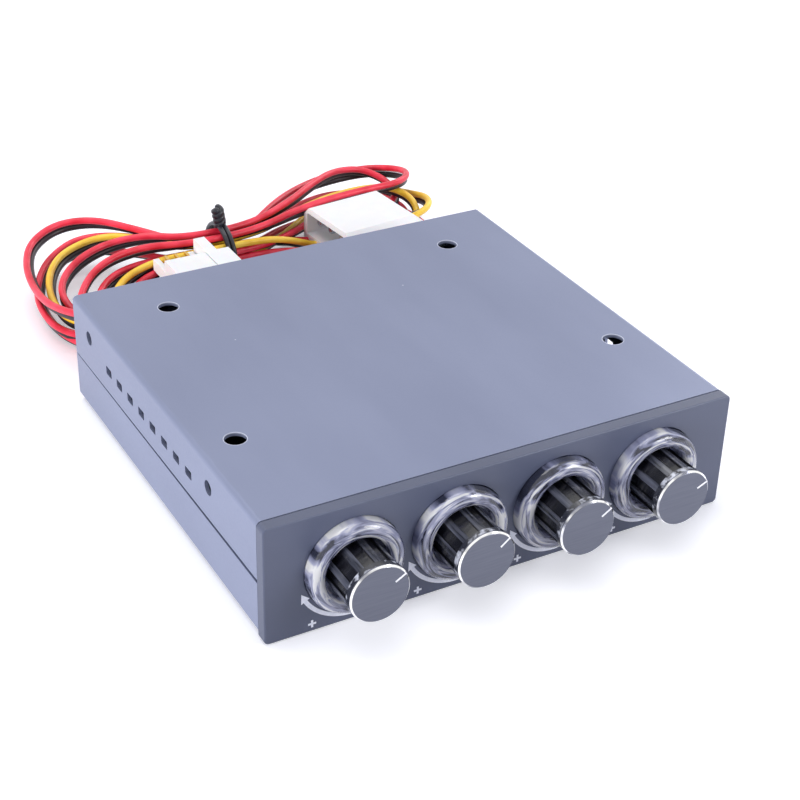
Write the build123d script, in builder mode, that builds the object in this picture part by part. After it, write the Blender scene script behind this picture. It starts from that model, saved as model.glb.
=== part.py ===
from build123d import *
from math import cos, radians, sin, sqrt, tan
import os

os.makedirs("parts", exist_ok=True)

# Four-channel fan speed controller for a 3.5 inch drive bay: a dark panel with four lit knobs,
# a folded steel case behind it and five leads tied in a hank behind the case.
# All sizes are in millimetres. Distances from front to back are counted from the panel's face.

# Front panel
panel_width = 101.6
panel_height = 25.4
panel_thickness = 2.6
panel_corner = 1.0
panel_edge = 0.3
pad_radius = 2.4
pad_inset = 4.3
pilot_depth = 1.9

# Control channels
channel_count = 4
channel_pitch = 22.0
pointer_angles = (31.0, 39.0, 33.0, 25.0)

# Case of folded sheet
sheet = 0.8
panel_gap = 0.3
case_inset = 0.1
case_depth = 93.4
case_lift = 0.9
fold_radius = 1.1
fold_gap = 0.15
seam_gap_front = 0.8
seam_gap_back = 0.25
seam_front = 12.1
seam_back = 11.6
tongue_length = 13.0
tongue_top = 15.4
tongue_root = 3.5

# Holes in the case
bay_screw_radius = 1.55
bay_screw_height = 19.7
bay_screw_first = 24.15
bay_screw_spacing = 62.9
top_hole_radius = 2.2
top_hole_first = 29.1
top_hole_row_gap = 53.7
top_hole_first_spacing = 85.6
top_hole_second_spacing = 68.4
vent_count = 8
vent_pitch = 6.01
vent_first = 33.66
vent_length = 3.0
vent_width = 1.9
vent_height = 17.3
vent_corner = 0.35

# Screws
thread_gap = 0.03
hole_gap = 0.15
cover_screw_radius = 1.5
cover_screw_length = 4.0
cover_screw_inset = 4.9
cover_screw_x = 38.0
tab_width = 12.0
tab_height = 8.0
small_screw_radius = 1.0
small_head_height = 1.2
head_ratio = 1.85
head_height = 1.3
cross_width = 0.6
cross_depth = 0.7

# Light rings
ring_radius = 9.8
ring_gap = 0.15
ring_bore = 6.4
ring_crest = 2.9
ring_lip = 1.9
ring_shoulder = 1.0
ring_flange_radius = 10.5
ring_flange = 1.0
ring_seat_gap = 0.2

# Potentiometers
shaft_radius = 3.0
shaft_flat = 1.6
shaft_length = 16.6
shaft_depth = 3.8
running_gap = 0.05
bushing_radius = 3.5
bushing_length = 6.2
pot_width = 9.8
pot_depth = 5.4
pot_plate = 0.8
pot_rise = 5.2
washer_thickness = 0.5
washer_radius = 5.5
nut_thickness = 2.0
nut_flats = 10.0

# Knobs
knob_clearance = 0.5
knob_radius = 5.9
knob_skirt = 8.7
collar_radius = 6.05
collar_length = 1.2
flute_count = 10
flute_width = 2.2
flute_depth = 0.45
cavity_radius = 4.3
cavity_clearance = 0.5
knob_front_wall = 1.5
cap_thickness = 0.6
cap_chamfer = 0.4
pointer_start = 3.4
pointer_width = 0.5
pointer_depth = 0.2

# Printed marks on the panel
mark_thickness = 0.06
arc_radius = 11.05
arc_width = 0.85
arc_from = -151.5
arc_to = -85.0
arrow_length = 1.7
arrow_width = 1.9
plus_radius = 13.75
plus_angle = -127.0
plus_size = 1.6
plus_stroke = 0.42

# Circuit board and what stands on it
board_side_gap = 2.9
board_thickness = 1.6
board_front_gap = 1.7
board_length = 78.6
board_rise = 2.7
standoff_flats = 5.0
standoff_inset = 5.0
standoff_front = 16.0
standoff_back = 66.0
board_screw_radius = 1.5
board_screw_length = 3.8
led_radius = 1.5
led_length = 5.0
led_offset = 8.4
led_flange = 0.35
led_leg = 0.5
led_leg_pitch = 2.54
sink_inset = 9.0
sink_place = 50.0
sink_wall = 2.0
sink_roof_gap = 2.6
fin_count = 5
fin_thickness = 1.0
fin_depth = 6.0
power_width = 10.0
power_tab = 1.3
power_roof_gap = 1.5
power_body = 3.2
power_bare_tab = 6.5
power_lift = 1.6
power_leg = 0.7
power_leg_pitch = 2.54
power_hole_drop = 3.0
capacitor_radius = 4.0
capacitor_height = 11.0
capacitor_place = 64.0
chip_length = 19.0
chip_width = 6.4
chip_height = 3.3
chip_lift = 0.5
chip_place = 30.0
chip_legs = 7
chip_leg_pitch = 2.54
chip_leg = 0.5
resistor_radius = 1.15
resistor_length = 6.3
resistor_pitch = 5.0
resistor_first = 15.0
resistor_leg = 0.6
strip_depth = 8.0
strip_height = 5.0

# Leads: a red and a black wire side by side, as wide as two wires
wire_size = 1.7
lead_pitch = 4.0
lead_first = 6.5
lead_past = 2.2
lead_last = 4.2
lead_drift = 1.0
lead_drop = 1.4
exit_inset = 14.7
exit_height = 8.0
grommet_wall = 1.2
grommet_lip = 1.0
slot_gap = 0.4

# Hank of leads behind the case
hank_gap = 11.7
lobe_corner = 5.0
lobe_edge = 1.6
left_lobe = (-30.7, 39.0, 58.0, 10.0)
left_window = (-30.0, 15.0, 22.0)
right_lobe = (34.5, 55.0, 40.0, 6.4)
right_window = (44.0, 20.0, 10.0)
right_lobe_gap = 25.7
waist_place = 37.7
waist_radius = 7.0
waist_half = 14.0
tie_thickness = 1.0
tie_width = 2.6
tie_head_radius = 1.6
tie_head_height = 5.5

# Connectors on the leads
plug_x = -15.5
plug_place = -0.2
plug_stand = 6.8
plug_lift = 1.0
plug_side_gap = 1.0
floor_plug_x = (18.0, 36.0)
plug_width = 10.2
plug_length = 11.5
plug_height = 5.8
plug_wall = 1.2
plug_tongue = 7.5
plug_pin = 0.64
plug_pin_length = 6.3
plug_pin_pitch = 2.54
rail_width = 1.4
rail_height = 1.6
power_plug_length = 20.5
power_plug_width = 21.3
power_plug_height = 8.6
power_plug_bevel = 2.2
power_plug_lip = 3.0
power_plug_lip_drop = 2.4
power_plug_x = 25.0
power_plug_place = 18.7
power_plug_turn = 6.0
power_plug_wall = 1.5
power_plug_mouth = 12.0
power_pin_pitch = 5.08
power_pin_radius = 1.05
power_pin_length = 9.5

# Places worked out from the sizes above
channel_x = [(i - (channel_count - 1) / 2) * channel_pitch for i in range(channel_count)]
channel_z = panel_height / 2
case_front = panel_thickness + panel_gap
case_back = case_front + case_depth
case_half = panel_width / 2 - case_inset
case_width = 2 * case_half
inner_half = case_half - sheet
front_wall_back = case_front + sheet
rear_wall_front = case_back - sheet
floor_top = case_lift + sheet
roof_under = panel_height - sheet
wall_top = roof_under - fold_gap
nut_front = case_front - washer_thickness - nut_thickness
knob_rear = nut_front - knob_clearance
collar_rear = knob_rear - knob_skirt
cap_rear = collar_rear - collar_length
cap_face = cap_rear - cap_thickness
bushing_tip = front_wall_back - bushing_length
pot_case_front = front_wall_back + pot_plate
pot_case_back = pot_case_front + pot_depth
shaft_rear = pot_case_front + shaft_depth
shaft_tip = shaft_rear - shaft_length
bore_end = cap_rear + knob_front_wall
ring_pocket = ring_flange + ring_seat_gap
lead_width = 2 * wire_size
slot_length = (channel_count) * lead_pitch + lead_width + 2 * slot_gap
slot_height = lead_width + 2 * slot_gap
grommet_length = slot_length + 2 * grommet_wall
grommet_height = slot_height + 2 * grommet_wall
board_bottom = floor_top + board_rise
board_top = board_bottom + board_thickness
board_half = inner_half - board_side_gap
standoff_x = board_half - standoff_inset
sink_half_width = board_half - sink_inset
sink_height = roof_under - sink_roof_gap - board_top
power_pitch = (2 * sink_half_width - power_width) / max(channel_count - 1, 1)
power_x = [(i - (channel_count - 1) / 2) * power_pitch for i in range(channel_count)]
power_tab_height = roof_under - power_roof_gap - board_top - power_lift
power_body_height = power_tab_height - power_bare_tab
power_hole_height = power_tab_height - power_hole_drop
exit_x = exit_inset - case_half
board_front = front_wall_back + board_front_gap
board_back = board_front + board_length
pot_top = channel_z + pot_rise
strip_back = board_back - 2.0
bay_screw_second = bay_screw_first + bay_screw_spacing
top_hole_second = top_hole_first + top_hole_row_gap
waist_z = waist_radius + tie_thickness
left_front = case_back + hank_gap
right_front = case_back + right_lobe_gap
lobe_right = left_lobe[0] + left_lobe[1] / 2
plug_base = left_lobe[3] + plug_lift
rear_reach = max(head_height, grommet_lip)
front = (-cap_face - case_back - rear_reach) / 2


def across(y):
    """Upright plane at a distance behind the panel's face, looking at it from the front."""
    return Plane.XZ.offset(-(front + y))


def on_axis(x, y):
    """The same plane with its origin on a channel's axis."""
    return Plane(origin=(x, front + y, channel_z), x_dir=(1, 0, 0), z_dir=(0, -1, 0))


def along(x):
    """Level plane through a channel's axis, for turned profiles given as radius and depth."""
    return Plane(origin=(x, front, channel_z))


def spindle(x):
    """A channel's axis, pointing to the back."""
    return Axis((x, front, channel_z), (0, 1, 0))


def save(part, name):
    """Label a finished piece and write it as its own file."""
    part.label = name
    export_step(part, f"parts/{name}.step")


def seam_line(front_height, back_height):
    """Heights of a seam edge carried a little past both ends of the case."""
    slope = (back_height - front_height) / case_depth
    start = front + case_front - sheet
    end = front + case_back + sheet
    return start, end, front_height - slope * sheet, back_height + slope * sheet


# Panel: moulded plate with a stepped hole for each light ring and four screw pads behind
pad_places = [
    (sx * (panel_width / 2 - pad_inset), channel_z + sz * (channel_z - pad_inset))
    for sx in (-1, 1)
    for sz in (-1, 1)
]
with BuildPart() as front_bezel:
    with BuildSketch(across(panel_thickness)):
        with Locations((0, channel_z)):
            RectangleRounded(panel_width, panel_height, panel_corner)
        with Locations([(x, channel_z) for x in channel_x]):
            Circle(ring_radius + ring_gap, mode=Mode.SUBTRACT)
    extrude(amount=panel_thickness)
    with BuildSketch(across(panel_thickness)):
        with Locations([(x, channel_z) for x in channel_x]):
            Circle(ring_flange_radius + ring_gap)
    extrude(amount=ring_pocket, mode=Mode.SUBTRACT)
    face_edges = front_bezel.faces().sort_by(Axis.Y)[0].outer_wire().edges()
    fillet(face_edges, radius=panel_edge)
    with BuildSketch(across(case_front)):
        with Locations(pad_places):
            Circle(pad_radius)
    extrude(amount=panel_gap)
    with BuildSketch(across(case_front)):
        with Locations(pad_places):
            Circle(small_screw_radius + thread_gap)
    extrude(amount=pilot_depth, mode=Mode.SUBTRACT)
save(front_bezel.part, "front_bezel")

# Marks: a curved arrow under each ring and a plus sign below its tip
with BuildPart() as panel_marks:
    for x in channel_x:
        tip_angle = arc_from - (arrow_length / arc_radius) * 180 / 3.14159
        inner = arc_radius - arrow_width / 2
        outer = arc_radius + arrow_width / 2
        with BuildSketch(on_axis(x, 0)):
            with BuildLine():
                CenterArc((0, 0), arc_radius + arc_width / 2, arc_from, arc_to - arc_from)
                CenterArc((0, 0), arc_radius - arc_width / 2, arc_from, arc_to - arc_from)
                for angle in (arc_from, arc_to):
                    Line(
                        Vector(arc_radius - arc_width / 2, 0).rotate(Axis.Z, angle),
                        Vector(arc_radius + arc_width / 2, 0).rotate(Axis.Z, angle),
                    )
            make_face()
            with BuildLine():
                Polyline(
                    Vector(inner, 0).rotate(Axis.Z, arc_from + 1),
                    Vector(outer, 0).rotate(Axis.Z, arc_from + 1),
                    Vector(arc_radius, 0).rotate(Axis.Z, tip_angle),
                    close=True,
                )
            make_face()
            with PolarLocations(plus_radius, 1, start_angle=plus_angle, rotate=False):
                Rectangle(plus_size, plus_stroke)
                Rectangle(plus_stroke, plus_size)
        extrude(amount=mark_thickness)
save(panel_marks.part, "panel_marks")

# Cover: top and upper side flanges folded from one sheet, with two tabs behind
seam_top = seam_line(seam_front + seam_gap_front, seam_back + seam_gap_back)
with BuildPart() as top_cover:
    with BuildSketch(across(case_back)):
        with Locations((0, channel_z)):
            Rectangle(case_width, panel_height)
        with Locations((0, roof_under / 2)):
            Rectangle(2 * inner_half, roof_under, mode=Mode.SUBTRACT)
    extrude(amount=case_depth)
    long_edges = top_cover.edges().filter_by(Axis.Y)
    outer_folds = long_edges.filter_by(lambda e: e.center().Z > roof_under + sheet / 2)
    inner_folds = long_edges.filter_by(lambda e: abs(e.center().Z - roof_under) < sheet / 4)
    fillet(outer_folds, radius=fold_radius)
    fillet(inner_folds, radius=fold_radius - sheet)
    with BuildSketch(Plane.YZ):
        with BuildLine():
            start, end, low, high = seam_top
            Polyline((start, -sheet), (end, -sheet), (end, high), (start, low), close=True)
        make_face()
    extrude(amount=case_width, both=True, mode=Mode.SUBTRACT)
    with BuildSketch(Plane.XY.offset(panel_height)):
        with Locations((0, front + top_hole_first)):
            with GridLocations(top_hole_first_spacing, 0, 2, 1):
                Circle(top_hole_radius)
        with Locations((0, front + top_hole_second)):
            with GridLocations(top_hole_second_spacing, 0, 2, 1):
                Circle(top_hole_radius)
    extrude(amount=-2 * sheet, mode=Mode.SUBTRACT)
    with BuildSketch(Plane.YZ):
        with Locations(
            (front + bay_screw_first, bay_screw_height),
            (front + bay_screw_second, bay_screw_height),
        ):
            Circle(bay_screw_radius)
        with Locations(
            [(front + vent_first + i * vent_pitch, vent_height) for i in range(vent_count)]
        ):
            RectangleRounded(vent_length, vent_width, vent_corner)
    extrude(amount=case_width, both=True, mode=Mode.SUBTRACT)
    with BuildSketch(across(rear_wall_front - fold_gap)):
        with Locations(
            (-cover_screw_x, roof_under - tab_height / 2), (cover_screw_x, roof_under - tab_height / 2)
        ):
            Rectangle(tab_width, tab_height)
    extrude(amount=sheet)
    with BuildSketch(across(rear_wall_front)):
        with Locations(
            (-cover_screw_x, panel_height - cover_screw_inset),
            (cover_screw_x, panel_height - cover_screw_inset),
        ):
            Circle(cover_screw_radius + thread_gap)
    extrude(amount=2 * sheet + fold_gap, mode=Mode.SUBTRACT)
save(top_cover.part, "top_cover")

# Tray: floor, lower side flanges, front and rear walls, and tongues that guide the cover
seam_low = seam_line(seam_front, seam_back)
led_places = [(x + s * led_offset, channel_z) for x in channel_x for s in (-1, 1)]
tongue_places = [
    case_front + fold_radius + tongue_length / 2,
    (case_front + case_back) / 2,
    case_back - fold_radius - sheet - tongue_length / 2,
]
with BuildPart() as bottom_tray:
    with BuildSketch(across(case_back)):
        with Locations((0, (case_lift + channel_z) / 2)):
            Rectangle(case_width, channel_z - case_lift)
        with Locations((0, (floor_top + panel_height) / 2)):
            Rectangle(2 * inner_half, panel_height - floor_top, mode=Mode.SUBTRACT)
    extrude(amount=case_depth)
    long_edges = bottom_tray.edges().filter_by(Axis.Y)
    outer_folds = long_edges.filter_by(lambda e: e.center().Z < case_lift + sheet / 2)
    inner_folds = long_edges.filter_by(lambda e: abs(e.center().Z - floor_top) < sheet / 4)
    fillet(outer_folds, radius=fold_radius)
    fillet(inner_folds, radius=fold_radius - sheet)
    with BuildSketch(Plane.YZ):
        with BuildLine():
            start, end, low, high = seam_low
            Polyline(
                (start, low), (end, high), (end, 2 * panel_height), (start, 2 * panel_height), close=True
            )
        make_face()
    extrude(amount=case_width, both=True, mode=Mode.SUBTRACT)
    wall_width = 2 * (inner_half - fold_radius)
    for wall_back in (front_wall_back, case_back):
        with BuildSketch(across(wall_back)):
            with Locations((0, (case_lift + wall_top) / 2)):
                Rectangle(wall_width, wall_top - case_lift)
        extrude(amount=sheet)
    with BuildSketch(Plane.YZ.offset(-(inner_half - fold_gap - sheet))):
        with Locations([(front + y, (floor_top + tongue_root + tongue_top) / 2) for y in tongue_places]):
            Rectangle(tongue_length, tongue_top - floor_top - tongue_root)
    extrude(amount=-sheet)
    with BuildSketch(Plane.YZ.offset(inner_half - fold_gap - sheet)):
        with Locations([(front + y, (floor_top + tongue_root + tongue_top) / 2) for y in tongue_places]):
            Rectangle(tongue_length, tongue_top - floor_top - tongue_root)
    extrude(amount=sheet)
    for side in (-1, 1):
        with BuildSketch(Plane.YZ.offset(side * (inner_half - sheet / 2))):
            root = min(seam_front, seam_back) - sheet - floor_top - tongue_root
            with Locations([(front + y, floor_top + tongue_root + root / 2) for y in tongue_places]):
                Rectangle(tongue_length, root)
        extrude(amount=side * sheet)
    with BuildSketch(across(front_wall_back)):
        with Locations([(x, channel_z) for x in channel_x]):
            Circle(bushing_radius + hole_gap)
        with Locations(led_places):
            Circle(led_radius + hole_gap)
        with Locations(pad_places):
            Circle(small_screw_radius + hole_gap)
    extrude(amount=sheet, mode=Mode.SUBTRACT)
    with BuildSketch(across(case_back)):
        with Locations(
            (-cover_screw_x, panel_height - cover_screw_inset),
            (cover_screw_x, panel_height - cover_screw_inset),
        ):
            Circle(cover_screw_radius + hole_gap)
        with Locations((exit_x, exit_height)):
            SlotOverall(grommet_length, grommet_height)
    extrude(amount=sheet, mode=Mode.SUBTRACT)
save(bottom_tray.part, "bottom_tray")

# Cover screws: pan heads on the rear wall
with BuildPart() as cover_screws:
    for side in (-1, 1):
        seat = Plane(
            origin=(side * cover_screw_x, front + case_back, panel_height - cover_screw_inset),
            x_dir=(1, 0, 0),
            z_dir=(0, 1, 0),
        )
        with BuildSketch(seat):
            Circle(head_ratio * cover_screw_radius)
        extrude(amount=head_height)
        with BuildSketch(seat):
            Circle(cover_screw_radius)
        extrude(amount=-cover_screw_length)
        with BuildSketch(seat.offset(head_height)):
            Rectangle(2 * cover_screw_radius, cross_width)
            Rectangle(cross_width, 2 * cover_screw_radius)
        extrude(amount=-cross_depth, mode=Mode.SUBTRACT)
    rims = cover_screws.faces().group_by(Axis.Y)[-1].edges().filter_by(GeomType.CIRCLE)
    fillet(rims, radius=head_height / 3)
save(cover_screws.part, "cover_screws")

# Panel screws: driven from inside the case into the panel's pads
with BuildPart() as bezel_screws:
    with BuildSketch(across(front_wall_back)):
        with Locations(pad_places):
            Circle(small_screw_radius)
    extrude(amount=sheet + pilot_depth - 2 * thread_gap)
    with BuildSketch(across(front_wall_back)):
        with Locations(pad_places):
            Circle(head_ratio * small_screw_radius)
    extrude(amount=-small_head_height)
save(bezel_screws.part, "bezel_screws")

# Light rings: clear turned rings with a flange trapped behind the panel
for number, x in enumerate(channel_x, start=1):
    with BuildPart() as light_ring:
        with BuildSketch(along(x)):
            with BuildLine():
                crest = (ring_bore + (ring_radius - ring_bore) * 0.5, -ring_crest)
                ThreePointArc((ring_bore, -ring_lip), crest, (ring_radius, -ring_shoulder))
                Polyline(
                    (ring_radius, -ring_shoulder),
                    (ring_radius, panel_thickness - ring_pocket),
                    (ring_flange_radius, panel_thickness - ring_pocket),
                    (ring_flange_radius, panel_thickness - ring_seat_gap),
                    (ring_bore, panel_thickness - ring_seat_gap),
                    (ring_bore, -ring_lip),
                )
            make_face()
        revolve(axis=spindle(x))
    save(light_ring.part, f"light_ring_{number}")

# Potentiometers: bushing with its plate, moulded case, shaft with a flat
for number, x in enumerate(channel_x, start=1):
    with BuildPart() as pot_bushing:
        with BuildSketch(across(pot_case_front)):
            with Locations((x, (board_top + pot_top) / 2)):
                Rectangle(pot_width, pot_top - board_top)
        extrude(amount=pot_plate)
        with BuildSketch(on_axis(x, front_wall_back)):
            Circle(bushing_radius)
        extrude(amount=bushing_length)
        tip_edges = pot_bushing.faces().sort_by(Axis.Y)[0].edges()
        chamfer(tip_edges, length=(bushing_radius - shaft_radius) / 2)
        with BuildSketch(on_axis(x, pot_case_front)):
            Circle(shaft_radius + running_gap)
        extrude(amount=bushing_length + pot_plate, mode=Mode.SUBTRACT)
    save(pot_bushing.part, f"pot_bushing_{number}")

    with BuildPart() as pot_case:
        with BuildSketch(across(pot_case_back)):
            with Locations((x, (board_top + pot_top) / 2)):
                Rectangle(pot_width, pot_top - board_top)
        extrude(amount=pot_depth)
        fillet(pot_case.faces().sort_by(Axis.Y)[-1].edges(), radius=pot_depth / 10)
        with BuildSketch(on_axis(x, pot_case_front)):
            Circle(shaft_radius + running_gap)
        extrude(amount=-(shaft_depth + 2 * running_gap), mode=Mode.SUBTRACT)
    save(pot_case.part, f"pot_case_{number}")

# Washers and nuts that clamp the bushings to the front wall
with BuildPart() as pot_washers:
    with BuildSketch(across(case_front)):
        with Locations([(x, channel_z) for x in channel_x]):
            Circle(washer_radius)
            Circle(bushing_radius + hole_gap, mode=Mode.SUBTRACT)
    extrude(amount=washer_thickness)
save(pot_washers.part, "pot_washers")

with BuildPart() as pot_nuts:
    with BuildSketch(across(nut_front + nut_thickness)):
        with Locations([(x, channel_z) for x in channel_x]):
            RegularPolygon(nut_flats / sqrt(3), 6)
            Circle(bushing_radius + thread_gap, mode=Mode.SUBTRACT)
    extrude(amount=nut_thickness)
save(pot_nuts.part, "pot_nuts")

# Turning pieces of each channel: shaft, knob and cap, set at the angle of its pointer
for number, (x, pointer) in enumerate(zip(channel_x, pointer_angles), start=1):
    with BuildPart() as pot_shaft:
        with BuildSketch(on_axis(x, shaft_rear)):
            Circle(shaft_radius)
        extrude(amount=shaft_length)
        flat_length = knob_rear - cavity_clearance - shaft_tip
        with BuildSketch(on_axis(x, shaft_tip)):
            with PolarLocations(shaft_flat + shaft_radius, 1, start_angle=pointer):
                Rectangle(2 * shaft_radius, 2 * shaft_radius)
        extrude(amount=-(bushing_tip - cavity_clearance - shaft_tip), mode=Mode.SUBTRACT)
    save(pot_shaft.part, f"pot_shaft_{number}")

    with BuildPart() as knob:
        with BuildSketch(on_axis(x, knob_rear)):
            Circle(knob_radius)
        extrude(amount=knob_skirt)
        with BuildSketch(on_axis(x, knob_rear)):
            with PolarLocations(knob_radius, flute_count, start_angle=pointer):
                Rectangle(2 * flute_depth, flute_width)
        extrude(amount=knob_skirt, mode=Mode.SUBTRACT)
        with BuildSketch(on_axis(x, collar_rear)):
            Circle(collar_radius)
        extrude(amount=collar_length)
        with BuildSketch(on_axis(x, knob_rear)):
            Circle(cavity_radius)
        extrude(amount=knob_rear - bushing_tip + cavity_clearance, mode=Mode.SUBTRACT)
        with BuildSketch(on_axis(x, bore_end)):
            Circle(shaft_radius + thread_gap)
            with PolarLocations(shaft_flat + thread_gap + shaft_radius, 1, start_angle=pointer):
                Rectangle(2 * shaft_radius, 2 * shaft_radius, mode=Mode.SUBTRACT)
        extrude(amount=-(bushing_tip - cavity_clearance - bore_end), mode=Mode.SUBTRACT)
    save(knob.part, f"knob_{number}")

    with BuildPart() as knob_cap:
        with BuildSketch(on_axis(x, cap_rear)):
            Circle(collar_radius)
        extrude(amount=cap_thickness)
        chamfer(knob_cap.faces().sort_by(Axis.Y)[0].edges(), length=cap_chamfer)
        groove_length = collar_radius - pointer_start
        with BuildSketch(on_axis(x, cap_face)):
            with PolarLocations(pointer_start + groove_length / 2, 1, start_angle=pointer):
                Rectangle(groove_length, pointer_width)
        extrude(amount=-pointer_depth, mode=Mode.SUBTRACT)
    save(knob_cap.part, f"knob_cap_{number}")

# Circuit board on four standoffs
standoff_places = [(s * standoff_x, front + y) for s in (-1, 1) for y in (standoff_front, standoff_back)]
with BuildPart() as circuit_board:
    with BuildSketch(Plane.XY.offset(board_bottom)):
        with Locations((0, front + (board_front + board_back) / 2)):
            Rectangle(2 * board_half, board_length)
        with Locations(standoff_places):
            Circle(board_screw_radius + hole_gap, mode=Mode.SUBTRACT)
    extrude(amount=board_thickness)
save(circuit_board.part, "circuit_board")

with BuildPart() as standoffs:
    with BuildSketch(Plane.XY.offset(floor_top)):
        with Locations(standoff_places):
            RegularPolygon(standoff_flats / sqrt(3), 6)
            Circle(board_screw_radius + thread_gap, mode=Mode.SUBTRACT)
    extrude(amount=board_rise)
save(standoffs.part, "standoffs")

with BuildPart() as board_screws:
    with BuildSketch(Plane.XY.offset(board_top)):
        with Locations(standoff_places):
            Circle(head_ratio * board_screw_radius)
    extrude(amount=head_height)
    with BuildSketch(Plane.XY.offset(board_top)):
        with Locations(standoff_places):
            Circle(board_screw_radius)
    extrude(amount=-board_screw_length)
    with BuildSketch(Plane.XY.offset(board_top + head_height)):
        with Locations(standoff_places):
            Rectangle(2 * board_screw_radius, cross_width)
            Rectangle(cross_width, 2 * board_screw_radius)
    extrude(amount=-cross_depth, mode=Mode.SUBTRACT)
save(board_screws.part, "board_screws")

# Light emitters: one on each side of every shaft, shining through the front wall into the ring
led_tip = panel_thickness
led_back = led_tip + led_length
with BuildPart() as leds:
    for x, z in led_places:
        with BuildSketch(along(x)):
            with BuildLine():
                Line((0, led_tip), (0, led_back))
                Polyline(
                    (0, led_back),
                    (led_radius + led_flange, led_back),
                    (led_radius + led_flange, led_back - led_flange * 2),
                    (led_radius, led_back - led_flange * 2),
                    (led_radius, led_tip + led_radius),
                )
                RadiusArc((led_radius, led_tip + led_radius), (0, led_tip), led_radius)
            make_face()
        revolve(axis=spindle(x))
        with BuildSketch(Plane.XY.offset(board_top)):
            with Locations((x, front + led_back + led_leg / 2)):
                with GridLocations(led_leg_pitch, 0, 2, 1):
                    Rectangle(led_leg, led_leg)
        extrude(amount=z - board_top)
save(leds.part, "leds")

# Heat sink: extruded bar with level fins, one power transistor per channel on its front
power_foot = board_top + power_lift
sink_front = sink_place
power_holes = [(x, power_foot + power_hole_height) for x in power_x]
with BuildPart() as heat_sink:
    with BuildSketch(Plane.XY.offset(board_top)):
        with Locations((0, front + sink_front + sink_wall / 2)):
            Rectangle(2 * sink_half_width, sink_wall)
    extrude(amount=sink_height)
    fin_pitch = (sink_height - fin_thickness) / fin_count
    for i in range(1, fin_count + 1):
        with BuildSketch(Plane.XY.offset(board_top + i * fin_pitch)):
            with Locations((0, front + sink_front + sink_wall + fin_depth / 2)):
                Rectangle(2 * sink_half_width, fin_depth)
        extrude(amount=fin_thickness)
    with BuildSketch(across(sink_front + sink_wall)):
        with Locations(power_holes):
            Circle(cover_screw_radius + thread_gap)
    extrude(amount=sink_wall, mode=Mode.SUBTRACT)
save(heat_sink.part, "heat_sink")

with BuildPart() as transistors:
    for x in power_x:
        with BuildSketch(across(sink_front)):
            with Locations((x, power_foot + power_tab_height / 2)):
                Rectangle(power_width, power_tab_height)
            with Locations((x, power_foot + power_hole_height)):
                Circle(cover_screw_radius + hole_gap, mode=Mode.SUBTRACT)
        extrude(amount=power_tab)
        with BuildSketch(across(sink_front - power_tab)):
            with Locations((x, power_foot + power_body_height / 2)):
                Rectangle(power_width, power_body_height)
        extrude(amount=power_body)
        with BuildSketch(Plane.XY.offset(board_top)):
            with Locations((x, front + sink_front - power_tab - power_body / 2)):
                with GridLocations(power_leg_pitch, 0, 3, 1):
                    Rectangle(power_leg, power_leg)
        extrude(amount=power_lift)
save(transistors.part, "transistors")

with BuildPart() as transistor_screws:
    with BuildSketch(across(sink_front - power_tab)):
        with Locations(power_holes):
            Circle(head_ratio * cover_screw_radius)
    extrude(amount=head_height)
    with BuildSketch(across(sink_front - power_tab)):
        with Locations(power_holes):
            Circle(cover_screw_radius)
    extrude(amount=-(power_tab + sink_wall))
save(transistor_screws.part, "transistor_screws")

# Smoothing capacitors, control chip, resistors and the strip that the leads are soldered to
with BuildPart() as capacitors:
    with BuildSketch(Plane.XY.offset(board_top)):
        with Locations([(x, front + capacitor_place) for x in power_x]):
            Circle(capacitor_radius)
    extrude(amount=capacitor_height)
    crimp = capacitor_radius / 12
    fillet(capacitors.faces().group_by(Axis.Z)[-1].edges(), radius=crimp)
save(capacitors.part, "capacitors")

with BuildPart() as control_chip:
    with BuildSketch(Plane.XY.offset(board_top + chip_lift)):
        with Locations((0, front + chip_place)):
            Rectangle(chip_length, chip_width)
    extrude(amount=chip_height)
    with BuildSketch(Plane.XY.offset(board_top)):
        with Locations((0, front + chip_place)):
            with GridLocations(chip_leg_pitch, chip_width + chip_leg, chip_legs, 2):
                Rectangle(chip_leg, chip_leg)
    extrude(amount=chip_lift + chip_height / 2)
save(control_chip.part, "control_chip")

resistor_x = [s * (resistor_first + i * resistor_pitch) for s in (-1, 1) for i in range(4)]
with BuildPart() as resistors:
    for x in resistor_x:
        height = board_top + resistor_radius + resistor_leg
        with BuildSketch(across(chip_place + resistor_length / 2)):
            with Locations((x, height)):
                Circle(resistor_radius)
        extrude(amount=resistor_length)
        with BuildSketch(Plane.XY.offset(board_top)):
            with Locations((x, front + chip_place)):
                with GridLocations(0, resistor_length + resistor_leg, 1, 2):
                    Rectangle(resistor_leg, resistor_leg)
        extrude(amount=height - board_top + resistor_leg / 2)
save(resistors.part, "resistors")

with BuildPart() as terminal_strip:
    with BuildSketch(Plane.XY.offset(board_top)):
        with Locations((exit_x, front + strip_back - strip_depth / 2)):
            Rectangle(slot_length, strip_depth)
    extrude(amount=strip_height)
    chamfer(terminal_strip.edges().filter_by(Axis.X).group_by(Axis.Z)[-1], length=strip_height / 8)
save(terminal_strip.part, "terminal_strip")

# Grommet: rubber lining of the cable opening in the rear wall
with BuildPart() as cable_grommet:
    for y, thickness, lip in (
        (case_back, sheet, 0),
        (case_back + grommet_lip, grommet_lip, grommet_lip),
        (rear_wall_front, grommet_lip, grommet_lip),
    ):
        with BuildSketch(across(y)):
            with Locations((exit_x, exit_height)):
                SlotOverall(grommet_length + 2 * lip, grommet_height + 2 * lip)
        extrude(amount=thickness)
    with BuildSketch(across(case_back + grommet_lip)):
        with Locations((exit_x, exit_height)):
            SlotOverall(slot_length, slot_height)
    extrude(amount=sheet + 2 * grommet_lip, mode=Mode.SUBTRACT)
save(cable_grommet.part, "cable_grommet")

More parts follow.
